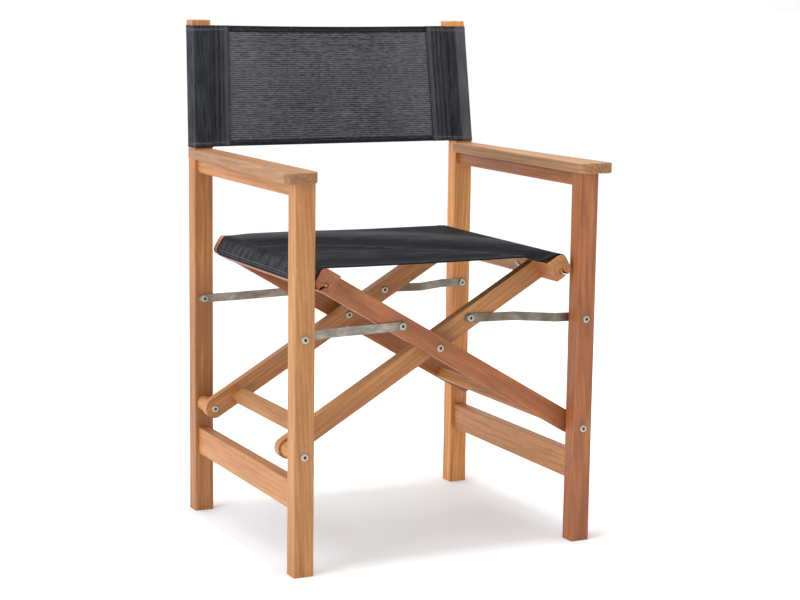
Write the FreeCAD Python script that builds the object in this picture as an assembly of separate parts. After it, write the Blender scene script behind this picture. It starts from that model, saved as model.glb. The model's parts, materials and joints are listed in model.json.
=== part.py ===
"""Folding director chair: two teak side frames, crossed bar frames, steel straps and slings.

Axes: X runs left to right, Y from front to back, Z up.  All lengths are millimetres.
The chair is modelled open.  It is drawn with the front legs at Y = 0, then every piece is
moved so that the origin is at the middle of the whole chair, on the floor.
One STEP file is written per named piece.
"""
import FreeCAD
import Part
import math
import os

V = FreeCAD.Vector

# ---- overall size
WIDTH = 560.0             # over the outer faces of the legs
DEPTH = 480.0             # front of the front legs to back of the rear legs, at the floor
HEIGHT = 887.0            # top of the back posts

# ---- side frames
LEG_X = 35.0              # leg section across the chair
LEG_Y = 30.0              # leg section front to back
ARM_UNDER = 642.0         # underside of the armrests
ARM_THICK = 18.0
ARM_INSIDE = 5.0          # armrest overhang on the inner side
ARM_NOSE = 10.0           # armrest overhang in front of the leg
ARM_OUTLINE = [(281.0, 478.0), (288.0, 235.0), (302.0, -5.0)]    # outer edge, back to front
RAKE_START = 663.0        # height at which the back posts start to lean
RAKE_BACK = 28.0          # backward lean of the post top
POST_IN = 7.0             # inward lean of the post top, from the pull of the back sling
RAIL_INSET = 7.0          # rails are thinner than the legs by this on both faces
BOTTOM_RAIL_Z = (107.0, 155.0)
UPPER_RAIL_Z = (619.0, ARM_UNDER)
TENON_LEN = 14.0
TENON_THICK = 9.0

# ---- crossed frames, one pair of bars each
PIVOT_X = WIDTH / 2 - LEG_X / 2    # low pivots and strap bolts sit on the leg centre line
PIVOT_Z = 200.0
CENTRE_Z = 354.0
BAR_WIDTH = 34.5
BAR_THICK = 18.0
OUTER_BAR_Y = 36.0        # front face of the front outer bar
INNER_BAR_Y = 66.0        # front face of the front inner bar
CROSSBAR_FROM_PIVOT = 39.0
CROSSBAR_LONG = 25.0
CROSSBAR_THICK = 19.0

# ---- seat rails, measured along the bars from the centre pivot
RAIL_S = (235.0, 270.0)
RAIL_T = (-18.0, 18.5)
RAIL_Y = (14.0, 464.0)
RAIL_ROUND = 10.0
HEM_HOLE_ST = (251.0, -6.5)
HEM_HOLE_DIA = 9.0
HEM_SLOT = 4.2
HEM_SLOT_END_ST = (259.5, -20.0)
HEM_ROD_DIA = 6.0

# ---- straps
STRAP_LEG_Z = 392.0
STRAP_FROM_CENTRE = 83.5  # strap screw, along the bar from the centre pivot
STRAP_WIDE = 15.0
STRAP_THICK = 2.0
STRAP_END = 10.0          # past each fastener
STRAP_GAP = 0.3           # strap to the face it swings on

# ---- fasteners
BOLT_DIA = 6.0
RUNNING = 0.05            # radial clearance where a piece turns on a bolt
HEAD_DIA = 13.0
HEAD_THICK = 2.6
SOCKET = 5.0              # hexagon of the heads, across the flats
SOCKET_DEEP = 2.2
NUT_DIA = 8.0             # threaded sleeves that take the strap screws
NUT_BORE = 5.0
NUT_BORE_DEEP = 12.0
SCREW_HEAD_DIA = 10.0     # rail screws
SCREW_Y = 130.0           # rail screws, from the front
SPACER_DIA = 27.0
WASHER_DIA = 16.0
FACE_GAP = 0.3            # between faces that turn against each other

# ---- slings
CLOTH = 1.2
CLOTH_GAP = 0.3
SEAT_Y = (18.0, 445.0)
BACK_Z = (RAKE_START, 877.0)

MID_Y = DEPTH / 2
SLEEVE_SHARE = (BACK_Z[1] - BACK_Z[0]) / (HEIGHT - RAKE_START)    # of the leaning length
BACK_LEAN = RAKE_BACK * SLEEVE_SHARE
BACK_IN = POST_IN * SLEEVE_SHARE
CENTRE_Y = (DEPTH + CLOTH + BACK_LEAN - ARM_NOSE) / 2    # middle of the whole chair, front to back
HALF = WIDTH / 2
PIVOT_RUN = math.hypot(PIVOT_X, CENTRE_Z - PIVOT_Z)
BAR_COS = PIVOT_X / PIVOT_RUN
BAR_SIN = (CENTRE_Z - PIVOT_Z) / PIVOT_RUN


# ---- small builders
def prism_y(points, y0, y1):
    """Solid with an XZ outline, running along Y."""
    wire = Part.makePolygon([V(x, y0, z) for x, z in points + points[:1]])
    return Part.Face(wire).extrude(V(0, y1 - y0, 0))


def prism_z(points, z0, z1, shift=(0.0, 0.0)):
    """Solid with an XY outline, running up Z, its top shifted in X and Y."""
    wire = Part.makePolygon([V(x, y, z0) for x, y in points + points[:1]])
    return Part.Face(wire).extrude(V(shift[0], shift[1], z1 - z0))


def rectangle(x0, x1, y0, y1):
    return [(x0, y0), (x1, y0), (x1, y1), (x0, y1)]


def box(x0, x1, y0, y1, z0, z1):
    return Part.makeBox(x1 - x0, y1 - y0, z1 - z0, V(x0, y0, z0))


def rod_y(x, z, y0, y1, dia):
    return Part.makeCylinder(dia / 2, y1 - y0, V(x, y0, z), V(0, 1, 0))


def soften(shape, radius, keep):
    """Round the edges whose midpoint and direction pass the test `keep`."""
    edges = [e for e in shape.Edges if keep(e)]
    return shape.makeFillet(radius, edges)


def along(edge, axis):
    start = edge.Vertexes[0].Point
    end = edge.Vertexes[-1].Point
    run = end.sub(start)
    return run.Length > 1.0 and abs(run.dot(axis)) > 0.99 * run.Length


def mirror_x(shape):
    return shape.mirror(V(0, 0, 0), V(1, 0, 0))


def mirror_y(shape):
    return shape.mirror(V(0, MID_Y, 0), V(0, 1, 0))


def bar_point(s, t, side):
    """World X, Z of a point s along and t above a bar that rises towards `side`."""
    return (side * (s * BAR_COS - t * BAR_SIN), CENTRE_Z + s * BAR_SIN + t * BAR_COS)


def bar_outline(pairs, side):
    return [bar_point(s, t, side) for s, t in pairs]


def arc_pairs(cs, ct, radius, a0, a1, steps=12):
    """Points on an arc, angles in degrees in the s,t plane of a bar."""
    out = []
    for i in range(steps + 1):
        a = math.radians(a0 + (a1 - a0) * i / steps)
        out.append((cs + radius * math.cos(a), ct + radius * math.sin(a)))
    return out


# ---- fasteners
def button_head(x, z, y_face, facing):
    """Rounded head standing on the face y_face; facing is -1 towards the front, +1 the back."""
    y_top = y_face + facing * HEAD_THICK
    head = rod_y(x, z, min(y_face, y_top), max(y_face, y_top), HEAD_DIA)
    rim = [e for e in head.Edges if len(e.Vertexes) == 1 and abs(e.CenterOfMass.y - y_top) < 0.01]
    head = head.makeFillet(HEAD_THICK * 0.6, rim)
    hexagon = []
    for i in range(6):
        a = math.radians(60 * i)
        hexagon.append((x + SOCKET / math.sqrt(3) * math.cos(a), z + SOCKET / math.sqrt(3) * math.sin(a)))
    y_deep = y_top - facing * SOCKET_DEEP
    return head.cut(prism_y(hexagon, min(y_top, y_deep), max(y_top, y_deep)))


def through_bolt(x, z, y0, y1):
    """Sleeve bolt with a button head at both ends, faces y0 and y1."""
    shank = rod_y(x, z, y0, y1, BOLT_DIA)
    return shank.fuse([button_head(x, z, y0, -1), button_head(x, z, y1, 1)])


def ring(x, z, y0, y1, outer, inner):
    return rod_y(x, z, y0, y1, outer).cut(rod_y(x, z, y0, y1, inner))


def pair(shape):
    """The front piece together with its mirror image at the back."""
    return Part.makeCompound([shape, mirror_y(shape)])


# ---- side frame, built on the right (positive X)
def side_rail(z_range):
    z0, z1 = z_range
    x0 = HALF - LEG_X + RAIL_INSET
    x1 = HALF - RAIL_INSET
    body = box(x0, x1, LEG_Y, DEPTH - LEG_Y, z0, z1)
    xm = (x0 + x1) / 2
    inset = min(8.0, (z1 - z0) / 4)
    tenon = box(xm - TENON_THICK / 2, xm + TENON_THICK / 2, LEG_Y - TENON_LEN, DEPTH - LEG_Y + TENON_LEN,
                z0 + inset, z1 - inset)
    body = soften(body, 1.5, lambda e: along(e, V(0, 1, 0)))
    return body.fuse(tenon).removeSplitter()


def front_leg(rails):
    leg = box(HALF - LEG_X, HALF, 0, LEG_Y, 0, ARM_UNDER)
    leg = soften(leg, 2.0, lambda e: along(e, V(0, 0, 1)))
    for z in (PIVOT_Z, STRAP_LEG_Z):
        leg = leg.cut(rod_y(PIVOT_X, z, -1, LEG_Y + 1, BOLT_DIA))
    return leg.cut(rails)


def rear_leg(rails):
    y0 = DEPTH - LEG_Y
    lower = prism_z(rectangle(HALF - LEG_X, HALF, y0, DEPTH), 0, RAKE_START)
    lower = soften(lower, 2.0, lambda e: along(e, V(0, 0, 1)))
    section = max(lower.Faces, key=lambda face: face.CenterOfMass.z)
    post = section.extrude(V(-POST_IN, RAKE_BACK, HEIGHT - RAKE_START))
    post = soften(post, 1.5, lambda e: e.BoundBox.ZMin > HEIGHT - 0.1)
    leg = lower.fuse(post)
    for z in (PIVOT_Z, STRAP_LEG_Z):
        leg = leg.cut(rod_y(PIVOT_X, z, y0 - 1, DEPTH + 1, BOLT_DIA))
    return leg.cut(rails)


def armrest():
    x_in = HALF - LEG_X - ARM_INSIDE
    post_y = DEPTH - LEG_Y
    top = ARM_UNDER + ARM_THICK
    z = ARM_UNDER
    outer = Part.Arc(*[V(x, y, z) for x, y in ARM_OUTLINE])
    nose_out = 8.0
    nose_in = 20.0
    x_out, y_out = ARM_OUTLINE[-1]
    corner = V(x_out - nose_out, -ARM_NOSE, z)
    inner_start = V(x_in + nose_in, -ARM_NOSE, z)
    mid = V(x_in + nose_in * (1 - math.sqrt(0.5)), -ARM_NOSE + nose_in * (1 - math.sqrt(0.5)), z)
    inner_end = V(x_in, -ARM_NOSE + nose_in, z)
    edges = [
        outer.toShape(),
        Part.makeLine(V(x_out, y_out, z), corner),
        Part.makeLine(corner, inner_start),
        Part.Arc(inner_start, mid, inner_end).toShape(),
        Part.makeLine(inner_end, V(x_in, post_y, z)),
        Part.makeLine(V(x_in, post_y, z), V(HALF, post_y, z)),
        Part.makeLine(V(HALF, post_y, z), V(HALF, 478.0, z)),
        Part.makeLine(V(HALF, 478.0, z), V(ARM_OUTLINE[0][0], 478.0, z)),
    ]
    arm = Part.Face(Part.Wire(edges)).extrude(V(0, 0, ARM_THICK))

    def rim(e):
        mid_z = e.CenterOfMass.z
        flat = abs(mid_z - top) < 0.01 or abs(mid_z - z) < 0.01
        return flat and e.CenterOfMass.y < post_y - 1 and e.Length > 5

    return soften(arm, 2.0, rim)


def back_sleeve():
    """Tube of cloth round a back post."""
    x0 = HALF - LEG_X
    y0 = DEPTH - LEG_Y
    shift = (-BACK_IN, BACK_LEAN)
    outer = rectangle(x0 - CLOTH, HALF + CLOTH, y0 - CLOTH, DEPTH + CLOTH)
    shell = prism_z(outer, BACK_Z[0], BACK_Z[1], shift)
    return shell.cut(prism_z(rectangle(x0, HALF, y0, DEPTH), BACK_Z[0], BACK_Z[1], shift))


# ---- crossed frames
def crossed_bar(y0, side, holes):
    """A bar that rises towards `side`, low end rounded about its pivot."""
    half = BAR_WIDTH / 2
    low = arc_pairs(-PIVOT_RUN, 0, half, 90, 270, 24)
    outline = bar_outline(low + [(RAIL_S[0], -half), (RAIL_S[0], half)], side)
    bar = prism_y(outline, y0, y0 + BAR_THICK)
    stub = bar_outline([(RAIL_S[0] - 1, -9), (RAIL_S[0] + 8, -9), (RAIL_S[0] + 8, 9), (RAIL_S[0] - 1, 9)], side)
    bar = bar.fuse(prism_y(stub, y0 + 4, y0 + BAR_THICK - 4)).removeSplitter()
    for s, dia, depth in holes:
        x, z = bar_point(s, 0, side)
        bar = bar.cut(rod_y(x, z, y0 - 1, y0 + depth + (1 if depth >= BAR_THICK else 0), dia))
    return bar


def seat_rail(side, bars):
    s0, s1 = RAIL_S
    t0, t1 = RAIL_T
    r = RAIL_ROUND
    outline = [(s0, t1), (s0, t0)]
    outline += arc_pairs(s1 - r, t0 + r, r, -90, 0)
    outline += arc_pairs(s1 - r, t1 - r, r, 0, 90)
    rail = prism_y(bar_outline(outline, side), RAIL_Y[0], RAIL_Y[1])
    hx, hz = bar_point(HEM_HOLE_ST[0], HEM_HOLE_ST[1], side)
    rail = rail.cut(rod_y(hx, hz, RAIL_Y[0] - 1, RAIL_Y[1] + 1, HEM_HOLE_DIA))
    ds = HEM_SLOT_END_ST[0] - HEM_HOLE_ST[0]
    dt = HEM_SLOT_END_ST[1] - HEM_HOLE_ST[1]
    run = math.hypot(ds, dt)
    ns = -dt / run * HEM_SLOT / 2
    nt = ds / run * HEM_SLOT / 2
    slot = [(HEM_HOLE_ST[0] + ns, HEM_HOLE_ST[1] + nt), (HEM_SLOT_END_ST[0] + ns, HEM_SLOT_END_ST[1] + nt),
            (HEM_SLOT_END_ST[0] - ns, HEM_SLOT_END_ST[1] - nt), (HEM_HOLE_ST[0] - ns, HEM_HOLE_ST[1] - nt)]
    rail = rail.cut(prism_y(bar_outline(slot, side), RAIL_Y[0] - 1, RAIL_Y[1] + 1))
    for bar in bars:
        rail = rail.cut(bar)
    return rail


def crossbar(side, y_face):
    """Tie between the two bars of one frame, near their low ends, lower face near the bar edge."""
    s0 = -PIVOT_RUN + CROSSBAR_FROM_PIVOT
    t0 = -BAR_WIDTH / 2 + 1.5
    outline = [(s0, t0), (s0 + CROSSBAR_LONG, t0), (s0 + CROSSBAR_LONG, t0 + CROSSBAR_THICK),
               (s0, t0 + CROSSBAR_THICK)]
    tie = prism_y(bar_outline(outline, side), y_face, DEPTH - y_face)
    return soften(tie, 1.5, lambda e: along(e, V(0, 1, 0)))


def strap(bar_face, side):
    """Front strap from the leg to a bar.  `side` is the side of its leg."""
    leg_y0 = LEG_Y + STRAP_GAP
    bar_y0 = bar_face - STRAP_GAP - STRAP_THICK
    x_bar = STRAP_FROM_CENTRE * BAR_COS
    z_bar = CENTRE_Z + STRAP_FROM_CENTRE * BAR_SIN
    run = math.hypot(PIVOT_X - x_bar, z_bar - STRAP_LEG_Z)
    tilt = math.degrees(math.atan2(z_bar - STRAP_LEG_Z, PIVOT_X - x_bar))
    jog = bar_y0 - leg_y0
    bend0 = run * 0.22
    bend1 = bend0 + max(14.0, jog * 1.9)
    d0 = run + STRAP_END
    line = [(-STRAP_END, leg_y0), (bend0, leg_y0), (bend1, bar_y0), (d0, bar_y0)]
    back = [(u, y + STRAP_THICK) for u, y in reversed(line)]
    wire = Part.makePolygon([V(u, y, -STRAP_WIDE / 2) for u, y in line + back + line[:1]])
    flat = Part.Face(wire).extrude(V(0, 0, STRAP_WIDE))
    r = STRAP_WIDE / 2
    mask = box(-STRAP_END + r, d0 - r, 0, 100, -r, r)
    mask = mask.fuse([rod_y(-STRAP_END + r, 0, 0, 100, STRAP_WIDE), rod_y(d0 - r, 0, 0, 100, STRAP_WIDE)])
    flat = flat.common(mask)
    flat = flat.cut([rod_y(0, 0, 0, 100, BOLT_DIA + 2 * RUNNING), rod_y(run, 0, 0, 100, BOLT_DIA)])
    # laid out from a leg on the left, then mirrored for the right
    flat.rotate(V(0, 0, 0), V(0, -1, 0), tilt)
    flat.translate(V(-PIVOT_X, 0, STRAP_LEG_Z))
    return flat if side < 0 else mirror_x(flat)


def strap_stud(bar_face, side):
    """Head and short stud on the bar end of a strap, stopping short of the bar."""
    x = side * STRAP_FROM_CENTRE * BAR_COS
    z = CENTRE_Z + STRAP_FROM_CENTRE * BAR_SIN
    y1 = bar_face - STRAP_GAP
    y0 = y1 - STRAP_THICK
    return button_head(x, z, y0, -1).fuse(rod_y(x, z, y0, y1, BOLT_DIA))


def strap_nut(bar_face, side):
    """Threaded sleeve through the bar behind the strap, with a head on the bar's other face."""
    x = side * STRAP_FROM_CENTRE * BAR_COS
    z = CENTRE_Z + STRAP_FROM_CENTRE * BAR_SIN
    far_face = bar_face + BAR_THICK
    sleeve = ring(x, z, bar_face, bar_face + NUT_BORE_DEEP, NUT_DIA, NUT_BORE)
    core = rod_y(x, z, bar_face + NUT_BORE_DEEP, far_face, NUT_DIA)
    return sleeve.fuse([core, button_head(x, z, far_face, 1)])


def strap_leg_bolt():
    """Bolt through the right front leg, its inner head holding the strap."""
    strap_back = LEG_Y + STRAP_GAP + STRAP_THICK + STRAP_GAP
    return through_bolt(PIVOT_X, STRAP_LEG_Z, 0, strap_back)


def rail_screw(side):
    """Screw heads on the inner face of a seat rail."""
    x, z = bar_point(RAIL_S[0], 2.0, side)
    out = V(-side * BAR_COS, 0, -BAR_SIN)
    head = Part.makeCylinder(SCREW_HEAD_DIA / 2, 2.0, V(x, SCREW_Y, z), out)
    return head.cut(Part.makeCylinder(1.6, 1.0, V(x, SCREW_Y, z) + out, out))


# ---- slings
def seat_sling():
    r0 = RAIL_ROUND + CLOTH_GAP
    r1 = r0 + CLOTH
    cs = RAIL_S[1] - RAIL_ROUND
    low_t = RAIL_T[0] + RAIL_ROUND
    top_t = RAIL_T[1] - RAIL_ROUND
    lean = math.degrees(math.asin(BAR_SIN))
    skin = [[], []]
    for row, r in enumerate((r0, r1)):
        pairs = arc_pairs(cs, low_t, r, -90, 0)
        pairs += arc_pairs(cs, top_t, r, 0, 90 - lean)
        skin[row] = bar_outline(pairs, 1)
    left = [(-x, z) for x, z in skin[1]]
    left_in = [(-x, z) for x, z in skin[0]]
    outline = skin[1] + left[::-1] + left_in + skin[0][::-1]
    return prism_y(outline, SEAT_Y[0], SEAT_Y[1])


def back_panel():
    """Cloth between the two sleeves, level with the middle of the posts."""
    x = HALF - LEG_X - CLOTH - CLOTH_GAP
    y = DEPTH - LEG_Y / 2
    ends = []
    for z, narrower, back in ((BACK_Z[0], 0.0, 0.0), (BACK_Z[1], BACK_IN, BACK_LEAN)):
        corners = rectangle(narrower - x, x - narrower, y + back, y + back + CLOTH)
        ends.append(Part.makePolygon([V(cx, cy, z) for cx, cy in corners + corners[:1]]))
    return Part.makeLoft(ends, True, True)


# ---- assembly
pieces = {}

bottom = side_rail(BOTTOM_RAIL_Z)
upper = side_rail(UPPER_RAIL_Z)
rails = bottom.fuse(upper)
side = {
    "front_leg": front_leg(rails),
    "rear_leg": rear_leg(rails),
    "armrest": armrest(),
    "upper_rail": upper,
    "bottom_rail": bottom,
    "strap_bolts": pair(strap_leg_bolt()),
    "back_sleeve": back_sleeve(),
}
for name, shape in side.items():
    pieces["right_" + name] = shape
    pieces["left_" + name] = mirror_x(shape)

# low pivots: a long wooden spacer on the left legs, a short one on the right legs
inner_back = INNER_BAR_Y + BAR_THICK + FACE_GAP
outer_back = OUTER_BAR_Y + BAR_THICK + FACE_GAP
pieces["left_pivot_bolts"] = pair(through_bolt(-PIVOT_X, PIVOT_Z, 0, inner_back))
pieces["right_pivot_bolts"] = pair(through_bolt(PIVOT_X, PIVOT_Z, 0, outer_back))
pieces["left_pivot_spacers"] = pair(ring(-PIVOT_X, PIVOT_Z, LEG_Y, INNER_BAR_Y - FACE_GAP, SPACER_DIA, BOLT_DIA))
pieces["right_pivot_spacers"] = pair(ring(PIVOT_X, PIVOT_Z, LEG_Y, OUTER_BAR_Y - FACE_GAP, WASHER_DIA, BOLT_DIA))

# the centre bolts are held by the outer bars; the inner bars turn on them
free = BOLT_DIA + 2 * RUNNING
nut_hole = (STRAP_FROM_CENTRE, NUT_DIA, BAR_THICK)
inner_bar = crossed_bar(INNER_BAR_Y, 1, [(-PIVOT_RUN, free, BAR_THICK), (0, free, BAR_THICK), nut_hole])
outer_bar = crossed_bar(OUTER_BAR_Y, -1, [(-PIVOT_RUN, free, BAR_THICK), (0, BOLT_DIA, BAR_THICK), nut_hole])
pieces["inner_front_bar"] = inner_bar
pieces["inner_rear_bar"] = mirror_y(inner_bar)
pieces["outer_front_bar"] = outer_bar
pieces["outer_rear_bar"] = mirror_y(outer_bar)
pieces["inner_crossbar"] = crossbar(1, INNER_BAR_Y + BAR_THICK)
pieces["outer_crossbar"] = crossbar(-1, OUTER_BAR_Y + BAR_THICK)
pieces["right_seat_rail"] = seat_rail(1, [inner_bar, mirror_y(inner_bar)])
pieces["left_seat_rail"] = seat_rail(-1, [outer_bar, mirror_y(outer_bar)])
pieces["centre_bolts"] = pair(through_bolt(0, CENTRE_Z, OUTER_BAR_Y, inner_back))
pieces["centre_spacers"] = pair(ring(0, CENTRE_Z, OUTER_BAR_Y + BAR_THICK, INNER_BAR_Y - FACE_GAP,
                                     WASHER_DIA, BOLT_DIA))

for tag, name, face, side_sign in (("right", "inner", INNER_BAR_Y, 1), ("left", "outer", OUTER_BAR_Y, -1)):
    front = strap(face, side_sign)
    pieces[tag + "_front_strap"] = front
    pieces[tag + "_rear_strap"] = mirror_y(front)
    pieces[tag + "_strap_studs"] = pair(strap_stud(face, side_sign))
    pieces[name + "_strap_nuts"] = pair(strap_nut(face, side_sign))
    hx, hz = bar_point(HEM_HOLE_ST[0], HEM_HOLE_ST[1], side_sign)
    pieces[tag + "_hem_rod"] = rod_y(hx, hz, RAIL_Y[0] + 1, RAIL_Y[1] - 1, HEM_ROD_DIA)
    pieces[tag + "_rail_screws"] = pair(rail_screw(side_sign))

pieces["seat_sling"] = seat_sling()
pieces["back_panel"] = back_panel()

os.makedirs("parts", exist_ok=True)
for name, shape in sorted(pieces.items()):
    shape.translate(V(0, -CENTRE_Y, 0))
    shape.exportStep("parts/" + name + ".step")
    b = shape.BoundBox
    print("%-20s solids %d valid %s volume %.0f  x %.1f..%.1f y %.1f..%.1f z %.1f..%.1f" % (
        name, len(shape.Solids), shape.isValid(), shape.Volume, b.XMin, b.XMax, b.YMin, b.YMax, b.ZMin, b.ZMax))
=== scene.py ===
"""Looks of the folding director chair: slings, stitching, materials, floor, lights and camera.

Everything is in metres in the frame of the CAD model: X to the right, Y to the back, Z up.
"""
import json
import math

import bpy
import numpy as np
from mathutils import Matrix, Vector


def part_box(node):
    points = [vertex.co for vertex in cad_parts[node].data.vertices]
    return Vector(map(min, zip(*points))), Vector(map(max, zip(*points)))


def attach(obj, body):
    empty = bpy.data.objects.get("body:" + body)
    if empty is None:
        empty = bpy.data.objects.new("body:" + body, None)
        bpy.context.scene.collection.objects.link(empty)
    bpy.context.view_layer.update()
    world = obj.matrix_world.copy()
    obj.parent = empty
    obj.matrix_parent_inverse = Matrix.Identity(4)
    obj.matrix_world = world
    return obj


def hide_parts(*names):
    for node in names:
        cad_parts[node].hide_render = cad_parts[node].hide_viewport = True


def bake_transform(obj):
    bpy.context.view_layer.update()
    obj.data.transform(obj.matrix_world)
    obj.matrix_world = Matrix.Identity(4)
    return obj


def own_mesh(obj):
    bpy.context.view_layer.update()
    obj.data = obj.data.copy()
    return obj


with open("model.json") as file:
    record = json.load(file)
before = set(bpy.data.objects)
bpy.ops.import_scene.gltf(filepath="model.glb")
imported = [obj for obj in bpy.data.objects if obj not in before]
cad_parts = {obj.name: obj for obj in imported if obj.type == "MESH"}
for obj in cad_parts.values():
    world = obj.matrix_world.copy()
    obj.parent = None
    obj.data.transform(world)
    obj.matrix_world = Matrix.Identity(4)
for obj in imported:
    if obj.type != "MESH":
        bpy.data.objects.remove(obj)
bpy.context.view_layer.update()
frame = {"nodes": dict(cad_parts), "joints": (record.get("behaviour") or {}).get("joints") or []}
NODES = frame["nodes"]
JOINTS = {joint["name"]: joint for joint in frame["joints"]}

# ---- places taken from the frame
LEFT_PIVOT = Vector(JOINTS["fold"]["pos_m"])
RIGHT_PIVOT = Vector(JOINTS["right_frame_pivot"]["pos_m"])
CENTRE = Vector(JOINTS["scissor"]["pos_m"])
BAR_ANGLE = math.atan2(CENTRE.z - LEFT_PIVOT.z, CENTRE.x - LEFT_PIVOT.x)
SEAT_LOW, SEAT_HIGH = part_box("seat_sling")
PANEL_FRONT_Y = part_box("back_panel")[0].y
SLEEVE_LOW, SLEEVE_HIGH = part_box("right_back_sleeve")

# ---- legs
LEG_X = 0.035                 # leg section across the chair
LEG_Y = 0.030                 # leg section front to back

# ---- cloth
CLOTH = 0.0012                # thickness
WAVE_UNIT = 0.314             # width of one band of a wave texture at scale 1
SEAT_WEAVE = 0.0011           # between the threads of the seat
MESH_WEAVE = 0.0013           # and of the back
YARN_PITCH = 0.0037           # between the level yarns of the back
STITCH_LONG = 0.0030
STITCH_PITCH = 0.0042
STITCH_WIDE = 0.00075
STITCH_LIFT = 0.0003          # rise of the middle of a stitch
LINE_LIFT = 0.0007            # stitching above the middle of the cloth
HEM_LINE_LIFT = 0.0005        # and in the groove of the seat's hems
LINE_SKIP = 4                 # rows or columns at either end of a line with no stitching

# ---- seat sling
SEAT_ROWS = 160               # of the mesh between its edges
SEAT_COLUMNS = 150            # of the mesh between the rails
SEAT_DROOP = 0.0016           # slack in the middle of the front
# the front hem curls down by the right rail: how deep, at which X, half width, how far back
SEAT_CURL = (0.0085, 0.183, 0.021, 0.055)
SEAT_STITCH = 0.0110          # hem stitching, from the front and rear edges
SEAT_HEM = (0.0125, 0.0140)   # where the doubled hem thins out
POCKET_COLUMNS = (7, 9)       # grid columns stitched along each rail pocket
# puckers over the rails: length of a wave, its sway, its slope up the rail, its size
SEAT_PUCKERS = [
    (0.031, 19.0, 60.0, 0.20),
    (0.0172, 53.0, -95.0, 0.18),
    (0.0093, 31.0, 140.0, 0.12),
]
PUCKER_DEEP = 0.0011
PUCKERED = (0.474, 0.482, 0.494, 0.502)     # heights between which the cloth is puckered
# each soft fold: distance from the front edge at the left rail and at the right rail, half width,
# height, paleness painted on it (painted sheen where above 0, painted shade where below).  It bends
# towards its right end.
SEAT_FOLDS = [
    (0.430, 0.190, 0.050, 0.0022, 0.44),
    (0.372, 0.120, 0.016, 0.0012, 0.10),
    (0.312, -0.010, 0.040, -0.0030, -0.40),
    (0.268, -0.100, 0.009, 0.0016, 0.36),
    (0.236, -0.060, 0.020, -0.0010, -0.08),
    (0.170, 0.055, 0.010, 0.0012, 0.18),
    (0.120, 0.030, 0.030, 0.0012, 0.08),
    (0.060, 0.020, 0.012, -0.0008, -0.10),
    (0.405, 0.300, 0.008, 0.0008, 0.12),
    (0.350, 0.240, 0.007, 0.0007, -0.14),
]
FOLD_HEIGHT = 3               # columns of that table
# column of that table with the painted sheen and painted shade of each fold
FOLD_PAINTED_LIGHT = 4

# ---- back sling
SEAM_X = 0.205                # stitched seam, from the middle
PANEL_BACK = 0.0015           # panel behind its CAD stand-in, clear of the seat rails when folded
TAIL_FRONT = 0.0018           # room in front of the panel inside the tail of a sleeve
TAIL_BACK = 0.0010            # and behind it
TAIL_FLAT = 0.008             # flat part of the back layer of a tail, from the seam
SLEEVE_STEP = 0.0022          # between the columns of the mesh
SLEEVE_ROWS = 88              # of the mesh between its edges
PANEL_ROWS = 110
PANEL_COLUMNS = 150
PANEL_TUCK = 0.032            # panel edge inside the right tail, where it slides as the chair folds
PANEL_HEM = 0.003             # panel edge inside the left tail
PANEL_HEMS = (0.0088, 0.0108)       # height of the lower and upper hem
PANEL_STITCHES = (0.0072, 0.0088)   # their stitching, from the lower and upper edge
PANEL_BELLY = 0.0025          # how far the middle of the top edge sags back
PANEL_SLACK = 0.0018          # and down
# ripples of the panel: length of a wave, how it turns across, where it starts, its size
PANEL_RIPPLES = [
    (0.0090, 9.0, 0.3, 0.00005),
    (0.0137, -14.0, 1.7, 0.00006),
    (0.0215, 11.0, 4.1, 0.00008),
]
SEAM_STITCH = 0.003           # seam stitching of the sleeves, outside the seam
SLEEVE_STITCH = 0.0080        # hem stitching of the sleeves, from either edge
SLEEVE_HEM = (0.0095, 0.0108)
PLEAT_PITCH = 0.0095          # pleats in the tail of a sleeve
PLEAT_DEEP = 0.0006
WELT_FROM_SEAM = 0.0075
WELT_HIGH = 0.0008
RIB_WAVE = 5300.0             # radians per metre of the level ribs on a sleeve's front
RIGHT_FRONT_HIGHLIGHT = 0.78       # painted highlight: how pale the front of the right sleeve is painted
LEFT_CORNER_HIGHLIGHT = 0.45       # and the painted highlight along the outer front corner of the left one

# ---- seat rail section: s runs up along the bar from the centre pivot, t across it
RAIL_TOP_S = 0.270
RAIL_T = (-0.018, 0.0185)
RAIL_ROUND = 0.010
SLING_GAP = 0.0006            # middle of the cloth to the wood
HEM_MOUTH = (0.2585, -0.0165)  # where the cloth goes into the slot of the rail
IN_SLOT = [(-0.0045, 0.0070), (-0.0022, 0.0034), (0.0, 0.0)]    # its run in the slot, from there
WRAP_START = -84              # degrees round the lower corner at which it comes out of the slot

# ---- wood: how the length of a piece lies, its tones (light, dark), and what wears them
UPRIGHT = (0.0, math.radians(90), 0.0)
LENGTHWISE = (0.0, 0.0, math.radians(-90))
RISE_RIGHT = (0.0, BAR_ANGLE, 0.0)
RISE_LEFT = (0.0, -BAR_ANGLE, 0.0)
GOLDEN = ((0.53, 0.245, 0.078), (0.41, 0.158, 0.040))
HONEY = ((0.74, 0.325, 0.085), (0.57, 0.205, 0.043))
AMBER = ((0.52, 0.224, 0.070), (0.39, 0.140, 0.036))
RUSSET = ((0.435, 0.156, 0.048), (0.31, 0.083, 0.022))
WEATHERED = ((0.40, 0.206, 0.086), (0.30, 0.130, 0.048))
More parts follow.
